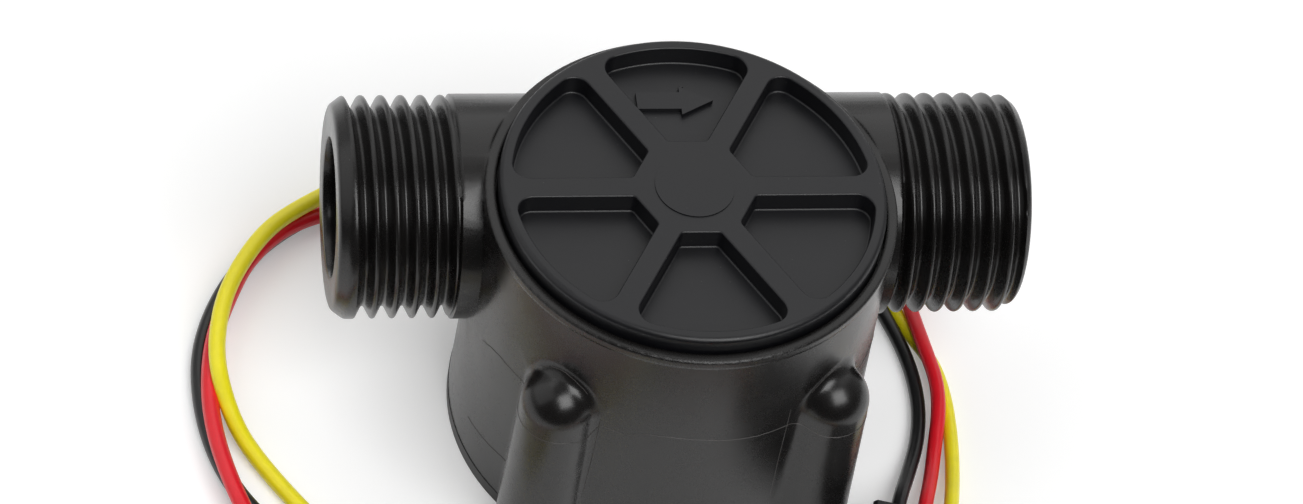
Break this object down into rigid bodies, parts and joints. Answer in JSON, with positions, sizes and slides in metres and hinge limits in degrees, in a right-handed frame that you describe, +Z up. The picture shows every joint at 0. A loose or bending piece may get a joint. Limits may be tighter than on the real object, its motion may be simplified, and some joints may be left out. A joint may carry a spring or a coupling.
{
  "type": "turbine flow meter",
  "caption": "In-line turbine flow meter: threaded pipe ends, ribbed round cap, vaned rotor on a pin, magnetic sensor below and loose wires with an in-line plug.",
  "frame": {"origin": "on the rotor's axis, at the underside of the bottom cover, where the meter rests", "axes": "+Z up along the rotor's axis, +X along the flow from inlet to outlet, +Y to the side where the pipe runs"},
  "size_m": [0.0755, 0.0815, 0.032],
  "materials": {
    "housing": "satin",
    "cap": "satin",
    "seal_rubber": "matte",
    "rotor_plastic": "satin",
    "bush_plastic": "satin",
    "magnet": "matte",
    "stainless": "polished",
    "washer_plastic": "satin",
    "board": "satin",
    "chip": "matte",
    "component": "matte",
    "potting": "gloss",
    "grommet_rubber": "matte",
    "screw_steel": "zinc plated",
    "plug_nylon": "satin",
    "tin": "tinned",
    "black_pvc": "satin",
    "red_pvc": "satin",
    "yellow_pvc": "satin"
  },
  "bodies": {
    "housing": {"meter_body": "housing", "top_cap": "cap", "cap_seal": "seal_rubber", "bottom_cover": "housing", "cover_screws": "screw_steel", "axle_pin": "stainless", "lower_washer": "washer_plastic", "upper_washer": "washer_plastic", "sensor_board": "board", "hall_sensor": "chip", "board_chips": "component", "potting": "potting", "wire_grommet": "grommet_rubber", "plug_housing": "plug_nylon", "plug_terminals": "tin", "socket_housing": "plug_nylon", "socket_terminals": "tin", "lead_tips": "tin", "black_wire": "black_pvc", "red_wire": "red_pvc", "yellow_wire": "yellow_pvc", "black_lead": "black_pvc", "red_lead": "red_pvc", "yellow_lead": "yellow_pvc"},
    "rotor": {"rotor": "rotor_plastic", "ring_magnet": "magnet", "lower_bush": "bush_plastic", "upper_bush": "bush_plastic"}
  },
  "joints": [
    {"name": "rotor_spin", "type": "hinge", "parent": "housing", "child": "rotor", "pos_m": [0, 0, 0.0199], "axis": [0, 0, 1], "continuous": true}
  ]
}
